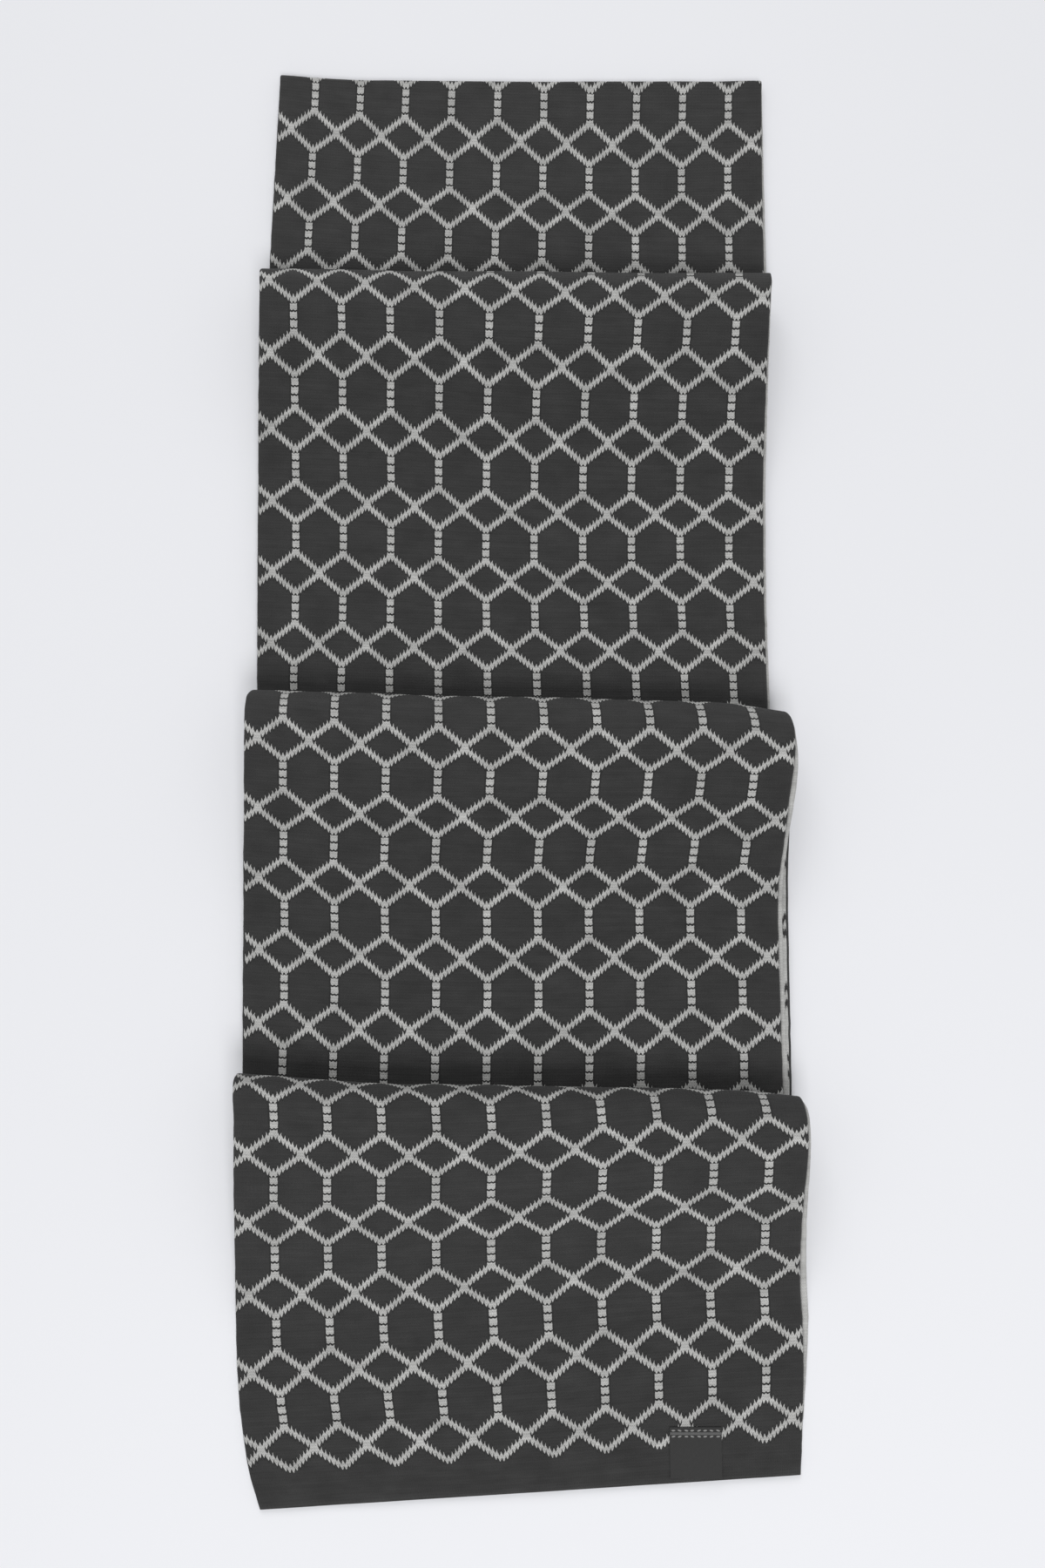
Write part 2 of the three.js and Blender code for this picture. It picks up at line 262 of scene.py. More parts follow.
# Each return hangs on the bottom of a fold, runs forward below its stretch, turns and runs
# back under itself to the end of the next stretch. turn: y of the turn, at its left and right
# ends. layers_below: how many layers it comes down on its way forward. phase: courses by
# which its lattice lies off that of its stretch.
RETURNS = {
    "front": {"turn": (-273.0, -264.6), "layers_below": 2, "phase": 0.0},
    "third": {"turn": (-177.5, -188.5), "layers_below": 2, "phase": 3.5},
    "second": {"turn": (34.5, 23.0), "layers_below": 1, "phase": 0.0},
}
STEP_DOWN = 34.0  # length over which a return comes down to the layers below
TAIL_SHORT = 3.0  # the far end stops this far short of where the last stretch ends

# The patch, its tape and its stitches. The tape's edges and the rows of stitches are
# measured forward from the back of the patch, and the first stitch from its left edge.
PATCH = {"width": 28.0, "length": 26.1, "thick": 0.8, "right": 106.8, "back": -349.9}
TAPE = {"back": 2.45, "front": 3.95, "inset": 0.2, "sunk": 0.2, "proud": 0.45}
STITCH = {"rows": (1.7, 4.7), "first": 2.1, "spacing": 3.41, "count": 8, "lift": 0.1,
          "size": (2.2, 1.0, 0.6)}


def mix(a, b, t):
    return a + (b - a) * t


def read_table(table, key, column, place):
    """A smooth curve through one column of a table, read at one place."""
    last = len(table) - 1

    def slope(i):
        a, b = table[max(i - 1, 0)], table[min(i + 1, last)]
        return (b[column] - a[column]) / (b[key] - a[key])

    i = 0
    while i < last - 1 and place > table[i + 1][key]:
        i += 1
    span = table[i + 1][key] - table[i][key]
    t = min(max((place - table[i][key]) / span, 0.0), 1.0)
    t2, t3 = t * t, t * t * t
    return (
        table[i][column] * (2 * t3 - 3 * t2 + 1)
        + slope(i) * span * (t3 - 2 * t2 + t)
        + table[i + 1][column] * (3 * t2 - 2 * t3)
        + slope(i + 1) * span * (t3 - t2)
    )


def fold_radius(shape):
    return (shape["crown"] - shape["under"]) / 2


def fold_centre(shape):
    return (shape["crown"] + shape["under"]) / 2


def end_under(name):
    """y where a stretch ends below the fold called name, on the left and on the right."""
    shape = STRETCHES[name]
    return tuple(y - fold_radius(shape) + TUCK for y in shape["back"])


# Side views: lists of {"y", "z", "facing", "length"} for one long edge of the cloth, on its
# face side. facing points out of the face, and length is measured along the cloth.

def with_lengths(points, zero_at):
    """Adds the length along the cloth to each point, counted from the one at zero_at."""
    total = 0.0
    points[0]["length"] = 0.0
    for a, b in zip(points, points[1:]):
        total += math.hypot(b["y"] - a["y"], b["z"] - a["z"])
        b["length"] = total
    zero = points[zero_at]["length"]
    for point in points:
        point["length"] -= zero
    return points


def stretch_side(name, side, end_y, flat_steps):
    """Round the fold from its underside, down the slope and along the flat, on one edge."""
    shape = STRETCHES[name]
    radius, centre, back = fold_radius(shape), fold_centre(shape), shape["back"][side]
    points = []
    for i in range(ARC_STEPS + 1):
        angle = mix(-math.pi / 2, math.pi / 2, i / ARC_STEPS)
        points.append({
            "y": back - radius + radius * math.cos(angle),
            "z": centre + radius * math.sin(angle),
            "facing": (math.cos(angle), math.sin(angle)),
        })
    slope_end = shape["slope"][side]
    drop, reach = shape["crown"] - shape["rest"], slope_end - radius
    for i in range(1, SLOPE_STEPS + 1) if slope_end else []:
        t = i / SLOPE_STEPS
        steep = drop * math.pi / 2 / reach * math.sin(math.pi * t)
        size = math.hypot(1, steep)
        points.append({
            "y": back - radius - reach * t,
            "z": shape["rest"] + drop * (1 + math.cos(math.pi * t)) / 2,
            "facing": (-steep / size, 1 / size),
        })
    start = back - max(slope_end, radius)
    for i in range(1, flat_steps + 1):
        y = mix(start, end_y, i / flat_steps)
        points.append({"y": y, "z": shape["rest"], "facing": (0, 1)})
    return with_lengths(points, ARC_STEPS // 2)


def smooth_step(t):
    t = min(max(t, 0.0), 1.0)
    return t * t * (3 - 2 * t)


def path_with_facing(middle):
    """Face side of a strip from the middle line of its thickness, with the face on its left."""
    points = []
    for i, (y, z) in enumerate(middle):
        before, after = middle[max(i - 1, 0)], middle[min(i + 1, len(middle) - 1)]
        dy, dz = after[0] - before[0], after[1] - before[1]
        size = math.hypot(dy, dz)
        out = (-dz / size, dy / size)
        points.append({
            "y": y + out[0] * CLOTH / 2, "z": z + out[1] * CLOTH / 2, "facing": out,
        })
    return with_lengths(points, 0)


def return_side(name, side):
    """From the underside of a fold forward, round the hidden turn, and back below itself."""
    shape, plan = STRETCHES[name], RETURNS[name]
    start = shape["back"][side] - fold_radius(shape)
    turn = plan["turn"][side]
    low = CLOTH / 2
    step = CLOTH + GAP
    rise = step * plan["layers_below"]
    run = []
    for i in range(RETURN_STEPS + 1):
        y = mix(start, turn, i / RETURN_STEPS)
        down = smooth_step((start - y) / STEP_DOWN)
        run.append((y, low + rise * (1 - down)))
    bend = []
    for i in range(1, TURN_STEPS):
        angle = math.pi / 2 + math.pi * i / TURN_STEPS
        bend.append((turn + step / 2 * math.cos(angle),
                     low + step / 2 + step / 2 * math.sin(angle)))
    middle = [(y, z + step) for y, z in run] + bend + run[::-1]
    middle[-1] = (start + TUCK - GAP, middle[-1][1])
    return path_with_facing(middle)


def tail_side(side):
    """The far end of the strip, below the last stretch, from the far fold to its own hem."""
    start = STRETCHES["back"]["back"][side] - fold_radius(STRETCHES["back"])
    stop = end_under("second")[side] + TAIL_SHORT
    return path_with_facing([
        (mix(start, stop, i / TAIL_STEPS), CLOTH / 2) for i in range(TAIL_STEPS + 1)
    ])


# The rounded right edge of the strip's cross-section, and the left one mirrored. Each point
# says which edge it hangs on, how far out from it, and how deep below the face.
ROUNDED = 1.1  # width of the rounded part
RIGHT_EDGE = [  # edge, out, depth
    ("face", -ROUNDED, 0.0), ("face", -0.45, 0.16), ("face", -0.1, 0.55), ("face", 0.0, 1.0),
    ("face", 0.0, 1.38), ("ledge", 0.0, 1.36), ("back", -0.25, 1.5), ("back", 0.0, 2.1),
    ("back", -0.35, 2.7), ("back", -1.2, 3.0),
]
FACE_EDGE = 5.4  # the dark yarn ends at the sixth of these points
PLAIN_DEPTH = (0.9, 1.4)  # between these depths the dark layer's edge has no lattice
PLAIN_WALES = 3  # so its points lie this far outside the lattice
END_THIN = (0.45, 0.85)  # thickness of the last two rows of a rounded end, as a share


def section_points():
    """(edge, side, out, depth, share across) for every point round the strip.

    The points run along the face from left to right and back along the reverse.
    """
    ring = []
    for i in range(1, COLUMNS):
        ring.append(("face", None, 0.0, 0.0, i / COLUMNS))
    for edge, out, depth in RIGHT_EDGE:
        ring.append((edge, 1, out, depth, 1.0))
    for i in range(COLUMNS - 1, 0, -1):
        ring.append(("back", None, 0.0, CLOTH, i / COLUMNS))
    for edge, out, depth in reversed(RIGHT_EDGE):
        ring.append((edge, 0, out, depth, 0.0))
    return ring


def ripple(x, y):
    """Softly uneven lie of the cloth, in millimetres."""
    place = Vector((x / 70, y / 45, 2.7))
    return 0.7 * noise.noise(place) + 0.35 * noise.noise(place * 2.6)


def crest_shift(name, across, length):
    """How far back a fold's own bend moves the cloth, at a length from that fold."""
    return read_table(CRESTS[name], "across", "back", across) * (
        1 - smooth_step(abs(length) / CREST_REACH))


def lie(table, name, length, across):
    """How far a row or a wale lies off its even place, at a place on a stretch."""
    along = [
        {"share": step / 3, "off": read_table(table[name], "across", column, across)}
        for step, column in enumerate(("near", "early", "late", "far"))
    ]
    return read_table(along, "share", "off", min(max(length / LIE_LENGTH[name], 0.0), 1.0))


def knit_strip(name, sides, edges, courses, crest, soft_ends=(False, False)):
    """One closed strip of double knit, as a mesh with its stitches laid out in the knit UVs.

    sides: the side views of the left and right edges, with as many points each.
    edges: function of (point, side) that gives x of the face's edge and of the back's.
    courses: function of (left length, right length, share across) that gives the course.
    crest: the fold whose bend the strip follows, by the name of its stretch.
    soft_ends: whether the first and last rows are thinned to a rounded end.
    """
    shown = name == f"{crest}_stretch"
    ring = section_points()
    count, rows = len(ring), len(sides[0])
    mesh = bmesh.new()
    bmesh.ops.create_grid(mesh, x_segments=count, y_segments=rows - 1, size=0.5)
    uv = mesh.loops.layers.uv.new("knit")
    column = {v: round((v.co.x + 0.5) * count) for v in mesh.verts}
    row = {v: round((v.co.y + 0.5) * (rows - 1)) for v in mesh.verts}

    place, stitch = {}, {}
    for j in range(rows):
        left, right = sides[0][j], sides[1][j]
        face_l, back_l = edges(left, 0)
        face_r, back_r = edges(right, 1)
        wobble = EDGE_WOBBLE * noise.noise(Vector((left["length"] / WOBBLE_LENGTH, 0, len(name))))
        face_l, back_l = face_l + wobble, back_l + wobble
        wobble = EDGE_WOBBLE * noise.noise(Vector((right["length"] / WOBBLE_LENGTH, 9, len(name))))
        face_r, back_r = face_r + wobble, back_r + wobble
        for i, (edge, side, out, depth, share) in enumerate(ring):
            ends = {
                "face": (face_l, face_r), "back": (back_l, back_r),
                "ledge": (max(face_l, back_l), min(face_r, back_r)),
            }[edge]
            if side is None:
                x = mix(ends[0] + ROUNDED, ends[1] - ROUNDED, share)
            else:
                x = ends[side] + (out if side else -out)
            across = (x - face_l) / (face_r - face_l)
            t = min(max(across, 0.0), 1.0)
            length = mix(left["length"], right["length"], t)
            y, z = mix(left["y"], right["y"], t), mix(left["z"], right["z"], t)
            fy = mix(left["facing"][0], right["facing"][0], t)
            fz = mix(left["facing"][1], right["facing"][1], t)
            thin = 1.0
            from_end = min(j if soft_ends[0] else rows, rows - 1 - j if soft_ends[1] else rows)
            if from_end < len(END_THIN):
                thin = END_THIN[from_end]
            sunk = CLOTH / 2 + (depth - CLOTH / 2) * thin
            lift = ripple(x, y) * (1 - depth / CLOTH) if shown else 0.0
            y += crest_shift(crest, t, length)
            place[i, j] = Vector((
                (x - CENTRE_X) * MM,
                (y - CENTRE_Y - fy * (sunk - lift)) * MM,
                max(z - fz * (sunk - lift), 0.0) * MM,
            ))
            wale = FIRST_WALE + WALES * across
            if edge == "face" and shown:
                wale += lie(WALE_LIE, crest, length, t)
            if side is not None and PLAIN_DEPTH[0] < depth < PLAIN_DEPTH[1]:
                wale += PLAIN_WALES if side else -PLAIN_WALES
            stitch[i, j] = (wale, courses(left["length"], right["length"], t))

    last_dark = COLUMNS - 1 + FACE_EDGE
    first_dark = count - FACE_EDGE - 1
    for face in mesh.faces:
        middle = sum(column[v] for v in face.verts) / 4
        face.material_index = 0 if middle < last_dark or middle > first_dark else 1
        face.smooth = True
        for loop in face.loops:
            i, j = column[loop.vert], row[loop.vert]
            loop[uv].uv = stitch[i % count, j]
    for v in mesh.verts:
        v.co = place[column[v] % count, row[v]]
    bmesh.ops.remove_doubles(mesh, verts=mesh.verts, dist=MERGE * MM)
    open_edges = [e for e in mesh.edges if e.is_boundary]
    caps = bmesh.ops.holes_fill(mesh, edges=open_edges, sides=0)["faces"]
    for face in caps:
        for loop in face.loops:
            near = next(other for other in loop.vert.link_loops if other.face not in caps)
            loop[uv].uv = near[uv].uv
    bmesh.ops.triangulate(mesh, faces=caps)
    bmesh.ops.recalc_face_normals(mesh, faces=mesh.faces)
    return piece_from(name, mesh)


def piece_from(name, mesh):
    data = bpy.data.meshes.new(name)
    mesh.to_mesh(data)
    mesh.free()
    piece = bpy.data.objects.new(name, data)
    bpy.context.scene.collection.objects.link(piece)
    return piece


# Materials

def rgb(hex_code):
    """An sRGB hex colour as linear RGBA."""
    values = [int(hex_code[i:i + 2], 16) / 255 for i in (1, 3, 5)]
    linear = [v / 12.92 if v <= 0.04045 else ((v + 0.055) / 1.055) ** 2.4 for v in values]
    return (*linear, 1.0)


def add(tree, kind, inputs, output=0, **settings):
    """Adds a node with its settings and links, and gives one of its outputs.

    inputs: values or other nodes' outputs, in order or by name.
    """
    node = tree.nodes.new("ShaderNode" + kind)
    for key, value in settings.items():
        setattr(node, key, value)
    for key, value in (inputs if isinstance(inputs, dict) else dict(enumerate(inputs))).items():
        if isinstance(value, bpy.types.NodeSocket):
            tree.links.new(value, node.inputs[key])
        else:
            node.inputs[key].default_value = value
    return node.outputs[output]


def new_material(name):
    material = bpy.data.materials.new(name)
    material.use_nodes = True
    tree = material.node_tree
    shader = tree.nodes["Principled BSDF"]
    return material, tree, shader


def jacquard_knit(name, ground, figure, last_course=None):
    """Double-jacquard wool blend: two yarns, one making the ground and one the lattice.

    Each stitch is a V of two legs, so the lattice's upper edges have a tooth for each wale.
    The knit UVs count wales across and courses along.
    """
    material, tree, shader = new_material(name)
    knit = add(tree, "UVMap", (), uv_map="knit")
    wales = add(tree, "SeparateXYZ", (knit,))
    courses = wales.node.outputs[1]

    # No stitch sits quite where it should
    loose = add(tree, "TexNoise", {"Vector": knit, "Scale": 0.9, "Detail": 1.0})
    shake = add(tree, "Math", (loose, 0.5, -0.25), operation="MULTIPLY_ADD")
    wale_at = add(tree, "Math", (shake, 0.5, wales), operation="MULTIPLY_ADD")
    course_at = add(tree, "Math", (courses, shake), operation="ADD")

    # The legs climb from the middle of a wale to its sides, in a rounded V
    turn = add(tree, "Math", (wale_at, 2 * math.pi), operation="MULTIPLY")
    climb = add(tree, "Math", (turn,), operation="COSINE")
    along = add(tree, "Math", (climb, ARM / 2, course_at), operation="MULTIPLY_ADD")

    # Whole wales from the nearest line of crossings, and courses from a row of them
    whole = add(tree, "Math", (wale_at,), operation="FLOOR")
    middle = add(tree, "Math", (whole, 0.5), operation="ADD")
    off_line = add(tree, "Math", (middle, REPEAT_WALES / 2), operation="PINGPONG")
    from_row = add(tree, "Math", (along, REPEAT_COURSES / 2), operation="PINGPONG")

    # Slanted lines climb a course a wale
    rise = add(tree, "Math", (off_line, LINE_RISE), operation="ADD")
    line = add(tree, "Math", (from_row, rise, LINE_HALF), operation="COMPARE")
    halo = add(tree, "Math", (from_row, rise, LINE_HALF + TROUGH), operation="COMPARE")

    # A bar joins them, cut by a thin dark tie after every third course
    off_crossing = add(tree, "Math", (wale_at, REPEAT_WALES / 2), operation="PINGPONG")
    in_bar = add(tree, "Math", (off_crossing, REPEAT_WALES / 2 - BAR_HALF),
                 operation="GREATER_THAN")
    by_bar = add(tree, "Math", (off_crossing, REPEAT_WALES / 2 - BAR_HALF - TROUGH / 2),
                 operation="GREATER_THAN")
    past_line = add(tree, "Math", (from_row, BAR_START), operation="GREATER_THAN")
    tie_along = add(tree, "Math", (climb, TIE_WAVE, course_at), operation="MULTIPLY_ADD")
    tie_course = add(tree, "Math", (tie_along, float(REPEAT_COURSES)),
                     operation="FLOORED_MODULO")
    from_first = add(tree, "Math", (tie_course, FIRST_TIE), operation="SUBTRACT")
    from_tie = add(tree, "Math", (from_first, TIE_STEP / 2), operation="PINGPONG")
    between = add(tree, "Math", (from_tie, TIE_HALF), operation="GREATER_THAN")
    bar = add(tree, "Math", (in_bar, past_line), operation="MULTIPLY")
    bar = add(tree, "Math", (bar, between), operation="MULTIPLY")
    by_bar = add(tree, "Math", (by_bar, past_line), operation="MULTIPLY")

    # The lattice, and the narrow trough of ground stitches beside it
    lattice = add(tree, "Math", (line, bar), operation="MAXIMUM")
    near = add(tree, "Math", (halo, by_bar), operation="MAXIMUM")
    limits = [add(tree, "Math", (wales, FIRST_WALE + WALES / 2, WALES / 2), operation="COMPARE")]
    if last_course is not None:
        limits.append(add(tree, "Math", (along, last_course), operation="LESS_THAN"))
    for limit in limits:
        lattice = add(tree, "Math", (lattice, limit), operation="MULTIPLY")
        near = add(tree, "Math", (near, limit), operation="MULTIPLY")
    trough = add(tree, "Math", (near, lattice), operation="SUBTRACT")

    # Roundness of each leg of yarn
    in_course = add(tree, "Math", (along, 1.0), operation="FLOORED_MODULO")
    leg_turn = add(tree, "Math", (in_course, math.pi), operation="MULTIPLY")
    leg = add(tree, "Math", (leg_turn,), operation="SINE")
    leg = add(tree, "Math", (leg, 0.7), operation="POWER")
    half = add(tree, "Math", (climb, climb), operation="MULTIPLY")
    half = add(tree, "Math", (half, -0.35, 1.0), operation="MULTIPLY_ADD")
    relief = add(tree, "Math", (leg, half), operation="MULTIPLY")

    # Loose fibres, rows of slightly different tension, and patches where the wool felted
    hairs = add(tree, "TexNoise", {"Vector": knit, "Scale": 3.1, "Detail": 3.0})
    rows = add(tree, "Mapping", {"Vector": knit, "Scale": (0.1, 0.9, 1.0)})
    uneven = add(tree, "TexNoise", {"Vector": rows, "Scale": 0.8, "Detail": 3.0})
    felted = add(tree, "TexNoise", {"Vector": knit, "Scale": 0.12, "Detail": 4.0})

    # Painted shade: the yarn colour is darkened where it dives between stitches, the pale one more
    # so
    depth = add(tree, "Math", (lattice, 0.22, 0.32), operation="MULTIPLY_ADD")
    deepest_painted_shade = add(tree, "Math", (1.03, depth), operation="SUBTRACT")
    shade = add(tree, "Math", (relief, depth, deepest_painted_shade), operation="MULTIPLY_ADD")
    for pattern, swing in ((hairs, 0.6), (uneven, 0.55), (felted, 0.75)):
        change = add(tree, "Math", (pattern, swing, 1 - swing / 2), operation="MULTIPLY_ADD")
        shade = add(tree, "Math", (shade, change), operation="MULTIPLY")
    # Painted shadow: the ground stitches in the trough beside the raised pale yarn are darkened
    painted_trough_shadow = add(tree, "Math", (trough, -0.32, 1.0), operation="MULTIPLY_ADD")
    shade = add(tree, "Math", (shade, painted_trough_shadow), operation="MULTIPLY")
    grey = add(tree, "CombineColor", (shade, shade, shade))
    yarn = add(tree, "Mix", {0: lattice, 6: rgb(ground), 7: rgb(figure)}, 2, data_type="RGBA")
    colour = add(tree, "Mix", {0: 1.0, 6: yarn, 7: grey}, 2, data_type="RGBA",
                 blend_type="MULTIPLY")

    raised = add(tree, "Math", (lattice, 0.35, relief), operation="MULTIPLY_ADD")
    raised = add(tree, "Math", (trough, -0.4, raised), operation="MULTIPLY_ADD")
    raised = add(tree, "Math", (hairs, 0.3, raised), operation="MULTIPLY_ADD")
    bump = add(tree, "Bump", {"Height": raised, "Strength": 0.6, "Distance": 0.5 * MM})
    tree.links.new(colour, shader.inputs["Base Color"])
    tree.links.new(bump, shader.inputs["Normal"])
    shader.inputs["Roughness"].default_value = 0.95
    shader.inputs["Specular IOR Level"].default_value = 0.2
    shader.inputs["Sheen Weight"].default_value = 0.12
    shader.inputs["Sheen Roughness"].default_value = 0.6
    return material


def woven_tape(name, colour, thread_mm):
    """Plain-woven polyester tape: fine crossing threads, a faint sheen."""
    material, tree, shader = new_material(name)
    place = add(tree, "TexCoord", (), "Object")
    x = add(tree, "SeparateXYZ", (place,))
    y = x.node.outputs[1]
    warp = add(tree, "Math", (x, math.pi / (thread_mm * MM)), operation="MULTIPLY")
    warp = add(tree, "Math", (warp,), operation="SINE")
    weft = add(tree, "Math", (y, math.pi / (thread_mm * MM)), operation="MULTIPLY")
    weft = add(tree, "Math", (weft,), operation="SINE")
    crossing = add(tree, "Math", (warp, weft), operation="MULTIPLY")
    weave = add(tree, "Math", (crossing, 0.5, 0.5), operation="MULTIPLY_ADD")
    fibres = add(tree, "TexNoise", {"Vector": place, "Scale": 900.0, "Detail": 3.0})
    shade = add(tree, "Math", (weave, 0.25, 0.75), operation="MULTIPLY_ADD")
    shade = add(tree, "Math", (fibres, 0.25, shade), operation="MULTIPLY_ADD")
    grey = add(tree, "CombineColor", (shade, shade, shade))
    shaded = add(tree, "Mix", {0: 1.0, 6: rgb(colour), 7: grey}, 2, data_type="RGBA",
                 blend_type="MULTIPLY")
    bump = add(tree, "Bump", {"Height": weave, "Strength": 0.5, "Distance": 0.1 * MM})
    tree.links.new(shaded, shader.inputs["Base Color"])
    tree.links.new(bump, shader.inputs["Normal"])
    shader.inputs["Roughness"].default_value = 0.8
    shader.inputs["Specular IOR Level"].default_value = 0.3
    return material


def painted_board(name, colour, worn):
    """Matt painted board under the cloth: smooth, with the faintest clouds in its colour."""
    material, tree, shader = new_material(name)
    place = add(tree, "TexCoord", (), "Object")
    clouds = add(tree, "TexNoise", {"Vector": place, "Scale": 3.0, "Detail": 2.0})
    mixed = add(tree, "Mix", {0: clouds, 6: rgb(colour), 7: rgb(worn)}, 2, data_type="RGBA")
    tree.links.new(mixed, shader.inputs["Base Color"])
    shader.inputs["Roughness"].default_value = 1.0
    shader.inputs["Specular IOR Level"].default_value = 0.0
    return material


DARK_YARN, PALE_YARN = "#383838", "#C8C8C6"
knit_face = jacquard_knit("charcoal_face_knit", DARK_YARN, PALE_YARN)
knit_hem = jacquard_knit("charcoal_hem_knit", DARK_YARN, PALE_YARN, last_course=LAST_FIGURE)
knit_back = jacquard_knit("pale_back_knit", PALE_YARN, DARK_YARN)
tape_dark = woven_tape("charcoal_patch_weave", "#353535", 0.5)
tape_grey = woven_tape("grey_tape_weave", "#5C5C5C", 0.6)
thread = woven_tape("grey_sewing_thread", "#8C8C8B", 0.4)


# The stretches that show

def stretch_edges(name):
    def edges(point, side):
        along = max(STRETCHES[name]["back"][side] - point["y"], 0.0)
        x = read_table(EDGES[name], "along", "right" if side else "left", along)
        if side == 0:
            return x + LEFT_LIP, x
        return x - read_table(EDGES[name], "along", "lip", along), x
    return edges


def stretch_courses(name):
    """The course at a place: rows are straight between the edges but for their lie."""
    shape = STRETCHES[name]

    def courses(left, right, t):
        rows = mix((left - shape["first_row"][0]) / shape["repeat"][0],
                   (right - shape["first_row"][1]) / shape["repeat"][1], t)
        return REPEAT_COURSES * rows + lie(ROW_LIE, name, mix(left, right, t), t)
    return courses


def make_stretch(name, ends, face):
    """A stretch that shows, from the bottom of its fold to its end. Gives it and its cut."""
    shape = STRETCHES[name]
    flat = shape["back"][0] - max(shape["slope"][0], fold_radius(shape)) - ends[0]
    flat_steps = math.ceil(flat / FLAT_STEP)
    sides = [stretch_side(name, side, ends[side], flat_steps) for side in (0, 1)]
    piece = knit_strip(f"{name}_stretch", sides, stretch_edges(name), stretch_courses(name),
                       name, soft_ends=(False, name == "front"))
    piece.data.materials.append(face)
    piece.data.materials.append(knit_back)
    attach(piece, "root")
    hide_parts(f"stretch_{name}")
    length = sum(side[-1]["length"] - side[0]["length"] for side in sides) / 2
    return piece, (CUT_WIDTH, length * MM)


def return_edges(point, side):
    x = read_table(LOWER_EDGES, "y", "right" if side else "left", point["y"])
    return (x, x - DARK_LIP) if side else (x, x + DARK_LIP)


def make_return(name, sides, above, phase):
    """A hidden run of the strip, with its cut. Its courses carry on from the stretch above."""
    shape = STRETCHES[above]
    at_fold = stretch_courses(above)
    below = -math.pi / 2 * fold_radius(shape)

    def courses(left, right, t):
        repeat = mix(*shape["repeat"], t)
        return at_fold(below, below, t) + phase - REPEAT_COURSES * mix(left, right, t) / repeat

    piece = knit_strip(name, sides, return_edges, courses,
                       above, soft_ends=(False, name == "far_end"))
    piece.data.materials.append(knit_face)
    piece.data.materials.append(knit_back)
    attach(piece, "root")
    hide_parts("hidden_layers")
    length = sum(side[-1]["length"] - side[0]["length"] for side in sides) / 2
    return piece, (CUT_WIDTH, length * MM)


front, front_cut = make_stretch("front", HEM, knit_hem)
third, third_cut = make_stretch("third", end_under("front"), knit_face)
second, second_cut = make_stretch("second", end_under("third"), knit_face)
back, back_cut = make_stretch("back", end_under("second"), knit_face)

for name in RETURNS:
    sides = [return_side(name, side) for side in (0, 1)]
    make_return(f"{name}_return", sides, name, RETURNS[name]["phase"])
make_return("far_end", [tail_side(0), tail_side(1)], "back", 0.0)


# The patch by the hem

def patch_box(name, low, high, round_off, material):
    """A thin rectangle of tape with rounded edges. Corners are in millimetres."""
    mesh = bmesh.new()
    bmesh.ops.create_cube(mesh, size=1.0)
    size = Vector([high[i] - low[i] for i in range(3)]) * MM
    centre = Vector([(high[i] + low[i]) / 2 for i in range(3)]) * MM
    bmesh.ops.scale(mesh, vec=size, verts=mesh.verts)
    bmesh.ops.translate(mesh, vec=centre, verts=mesh.verts)
    bmesh.ops.bevel(mesh, geom=list(mesh.edges), offset=round_off * MM, segments=3,
                    profile=0.5, affect="EDGES", material=-1)
    for face in mesh.faces:
        face.smooth = True
    piece = piece_from(name, mesh)
    piece.data.materials.append(material)
    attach(piece, "root")
    return piece


def patch_stitches(name, rows, first_x, z):
    """Hand-like running stitches of thick thread over the tape, each a short rounded dash."""
    mesh = bmesh.new()
    for row_number, y in enumerate(rows):
        for k in range(STITCH["count"]):
            made = bmesh.ops.create_uvsphere(mesh, u_segments=10, v_segments=6, radius=0.5)["verts"]
            lean = 0.25 * math.sin(5.1 * k + 2.3 * row_number)
            bmesh.ops.scale(mesh, vec=Vector(STITCH["size"]) * MM, verts=made)
            x = first_x + k * STITCH["spacing"] + 0.15 * math.sin(3.7 * k)
            place = Vector((x, y, z)) * MM
            for v in made:
                v.co.y += v.co.x * lean
                v.co += place
    for face in mesh.faces:
        face.smooth = True
    piece = piece_from(name, mesh)
    piece.data.materials.append(thread)
    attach(piece, "root")
    return piece


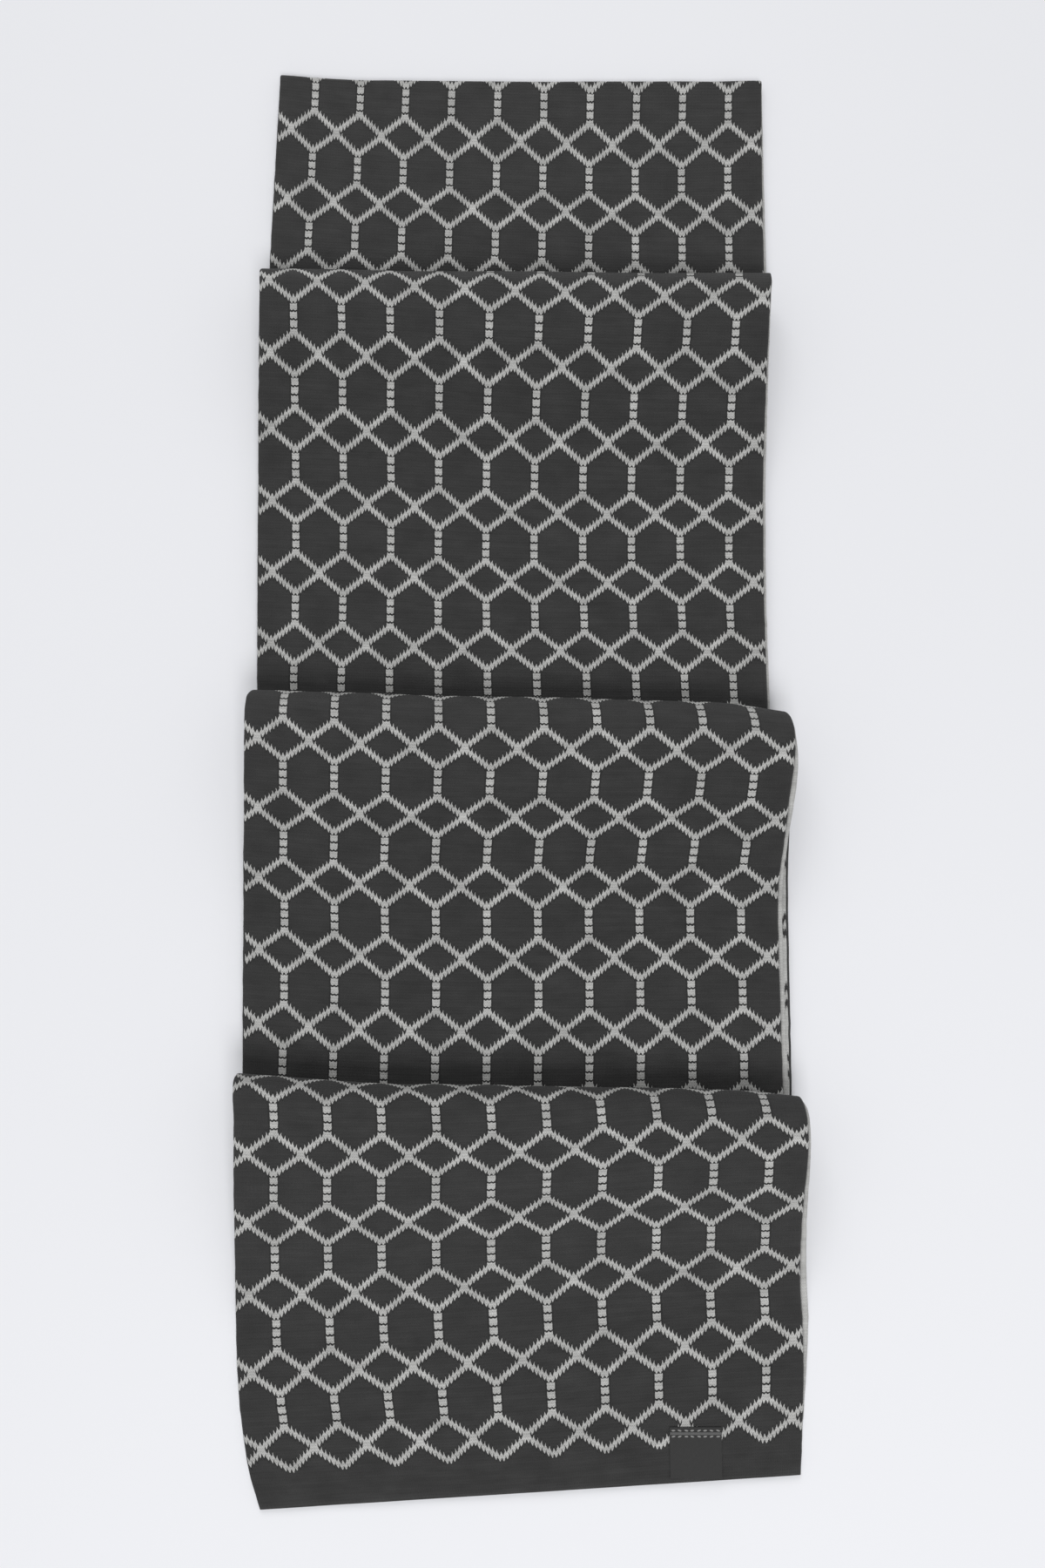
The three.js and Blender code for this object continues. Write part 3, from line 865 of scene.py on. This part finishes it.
patch_right = PATCH["right"] - CENTRE_X
patch_left = patch_right - PATCH["width"]
patch_back = PATCH["back"] - CENTRE_Y
patch_floor = layer_top(1) + GAP
patch_top = patch_floor + PATCH["thick"]
patch = patch_box("hem_patch_cloth", (patch_left, patch_back - PATCH["length"], patch_floor),
                  (patch_right, patch_back, patch_top), 0.25, tape_dark)
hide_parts("hem_patch")
tape = patch_box(
    "hem_patch_tape",
    (patch_left + TAPE["inset"], patch_back - TAPE["front"], patch_top - TAPE["sunk"]),
    (patch_right - TAPE["inset"], patch_back - TAPE["back"], patch_top + TAPE["proud"]),
    0.2, tape_grey)
stitches = patch_stitches("hem_patch_stitches", [patch_back - row for row in STITCH["rows"]],
                          patch_left + STITCH["first"], patch_top + STITCH["lift"])


# Stage, light and camera

def make_floor():
    mesh = bmesh.new()
    bmesh.ops.create_grid(mesh, x_segments=1, y_segments=1, size=6.0)
    bmesh.ops.translate(mesh, vec=(0, 0, -0.3 * MM), verts=mesh.verts)
    floor = piece_from("floor", mesh)
    floor.data.materials.append(painted_board("pale_board", "#F0F1F5", "#F2F3F7"))


def make_light(name, place, size, power):
    lamp = bpy.data.lights.new(name, "AREA")
    lamp.size = size
    lamp.energy = power
    light = bpy.data.objects.new(name, lamp)
    light.location = place
    light.rotation_mode = "QUATERNION"
    light.rotation_quaternion = (-Vector(place)).to_track_quat("-Z", "Y")
    bpy.context.scene.collection.objects.link(light)


def make_camera():
    """Looks down at 81 degrees from 0.85 m, like the photograph, which is 1200 by 1800."""
    distance, down = 853 * MM, math.radians(81)
    target = Vector((-CENTRE_X * MM, -CENTRE_Y * MM, 0))
    camera = bpy.data.objects.new("camera", bpy.data.cameras.new("camera"))
    camera.data.sensor_width = 36
    camera.data.lens = 34
    camera.data.clip_start = 0.01
    camera.location = target + distance * Vector((0, -math.cos(down), math.sin(down)))
    camera.rotation_euler = (math.pi / 2 - down, 0, 0)
    bpy.context.scene.collection.objects.link(camera)
    bpy.context.scene.camera = camera


def make_world():
    world = bpy.data.worlds.new("soft_white_room")
    bpy.context.scene.world = world
    world.use_nodes = True
    sky = world.node_tree.nodes["Background"]
    sky.inputs["Color"].default_value = rgb("#F8F8F8")
    sky.inputs["Strength"].default_value = 0.46
    bpy.context.scene.view_settings.view_transform = "Standard"


make_floor()
make_light("back_softbox", (-0.35, 2.2, 1.9), 1.8, 25)
make_light("front_softbox", (0.2, -1.5, 2.2), 1.0, 31)
make_camera()
make_world()
